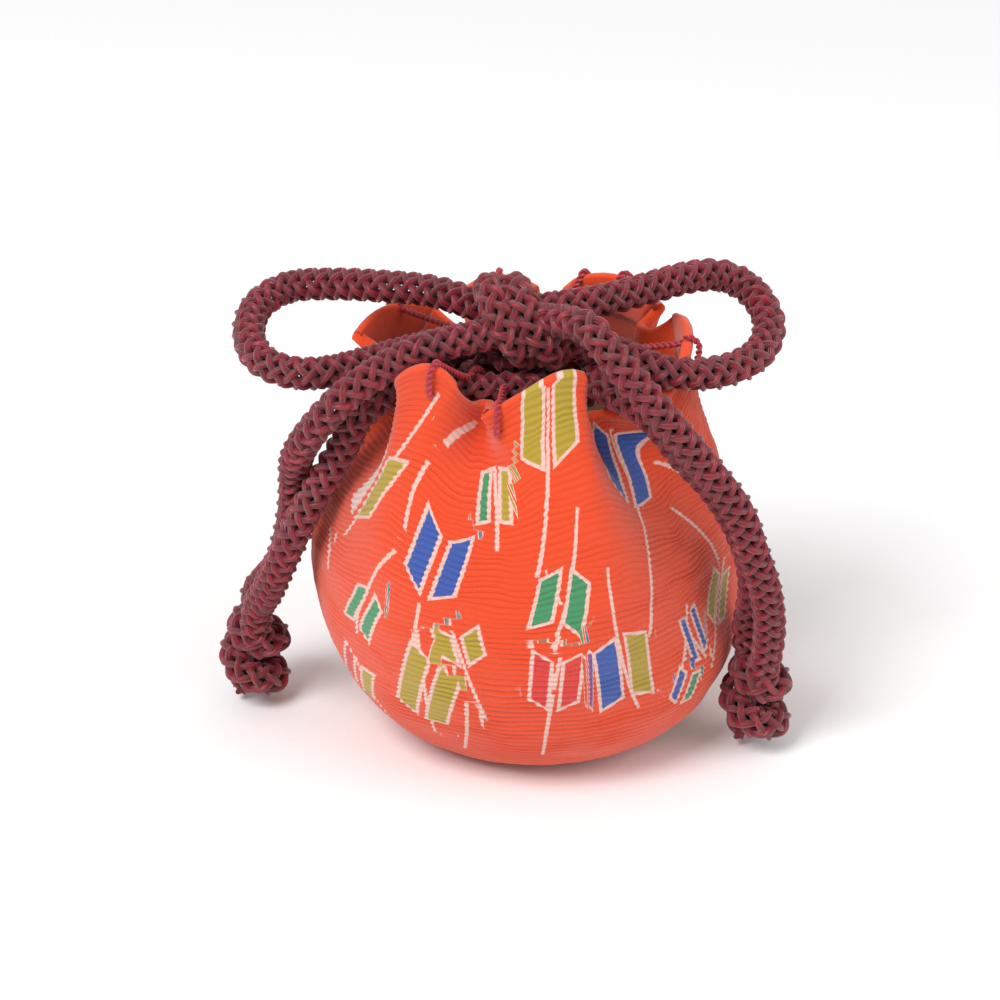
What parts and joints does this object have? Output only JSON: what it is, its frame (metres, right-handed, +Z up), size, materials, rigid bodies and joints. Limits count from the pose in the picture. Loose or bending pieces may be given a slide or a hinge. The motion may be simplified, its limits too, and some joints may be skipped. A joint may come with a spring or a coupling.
{
  "type": "scented sachet pouch",
  "caption": "Small round drawstring sachet pouch of printed crepe cloth, gathered at the mouth and tied in a bow with braided cord.",
  "frame": {"origin": "middle of the pouch's box at its base, on the surface that it stands on", "axes": "+Z up, the front with the widest fold of the mouth faces -Y, +X is the viewer's right"},
  "size_m": [0.0715, 0.054, 0.0609],
  "materials": {
    "crepe": "matt crepe with a fine cross ripple, orange ground with a printed pattern of arrow feathers",
    "packet": "soft unbleached cloth packet round scented filling",
    "cord": "thick round braid with a slight sheen, dark wine red",
    "thread": "doubled sewing thread, crimson"
  },
  "bodies": {
    "root": {"pouch_cloth": "crepe", "scent_packet": "packet", "left_drawcord": "cord", "right_drawcord": "cord", "left_bow_loop": "cord", "right_bow_loop": "cord", "left_tail": "cord", "right_tail": "cord", "bow_knot": "cord", "left_end_knot": "cord", "right_end_knot": "cord", "thread_tack_1": "thread", "thread_tack_2": "thread", "thread_tack_3": "thread", "thread_tack_4": "thread", "thread_tack_5": "thread", "thread_tack_6": "thread", "thread_tack_7": "thread"}
  },
  "joints": []
}
